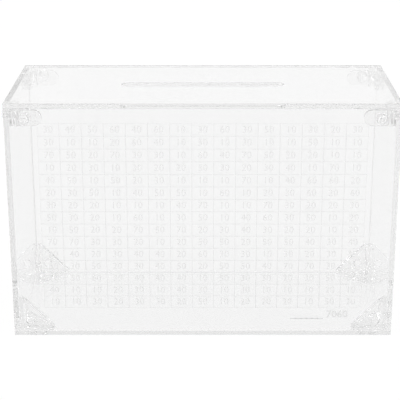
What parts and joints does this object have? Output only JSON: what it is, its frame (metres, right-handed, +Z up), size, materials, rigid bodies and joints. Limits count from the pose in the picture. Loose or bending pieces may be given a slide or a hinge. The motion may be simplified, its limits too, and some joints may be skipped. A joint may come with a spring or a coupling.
{
  "type": "clear acrylic money box",
  "caption": "Clear acrylic box with a long slot in its lift-off lid for notes and coins, held together by moulded corner connectors and push rivets.",
  "frame": {"origin": "middle of the base panel's underside", "axes": "+X along the front towards its right end, +Y from the front to the back, +Z up"},
  "size_m": [0.205, 0.089, 0.127],
  "materials": {
    "clear_sheet": "polished clear acrylic sheet with laser-cut edges",
    "clear_moulding": "clear injection moulding, slightly hazy",
    "clear_rivet": "clear injection moulding, slightly hazy",
    "white_print": "thin pale screen print"
  },
  "bodies": {
    "box": {"base_panel": "clear_sheet", "front_panel": "clear_sheet", "back_panel": "clear_sheet", "left_panel": "clear_sheet", "right_panel": "clear_sheet", "bottom_connector_front_left": "clear_moulding", "bottom_connector_front_right": "clear_moulding", "bottom_connector_back_left": "clear_moulding", "bottom_connector_back_right": "clear_moulding", "top_connector_front_left": "clear_moulding", "top_connector_front_right": "clear_moulding", "top_connector_back_left": "clear_moulding", "top_connector_back_right": "clear_moulding", "rivet_grommet_front_left": "clear_rivet", "rivet_grommet_front_right": "clear_rivet", "rivet_grommet_back_left": "clear_rivet", "rivet_grommet_back_right": "clear_rivet", "rivet_grommet_left_front": "clear_rivet", "rivet_grommet_right_front": "clear_rivet", "rivet_grommet_left_back": "clear_rivet", "rivet_grommet_right_back": "clear_rivet", "rivet_pin_front_left": "clear_rivet", "rivet_pin_front_right": "clear_rivet", "rivet_pin_back_left": "clear_rivet", "rivet_pin_back_right": "clear_rivet", "rivet_pin_left_front": "clear_rivet", "rivet_pin_right_front": "clear_rivet", "rivet_pin_left_back": "clear_rivet", "rivet_pin_right_back": "clear_rivet"},
    "lid": {"lid_panel": "clear_sheet", "lid_catch_front_left": "clear_moulding", "lid_catch_front_right": "clear_moulding", "lid_catch_back_left": "clear_moulding", "lid_catch_back_right": "clear_moulding"}
  },
  "joints": [
    {"name": "lid_lift", "type": "slide", "parent": "box", "child": "lid", "axis": [0, 0, 1], "range_m": [0, 0.05]}
  ]
}
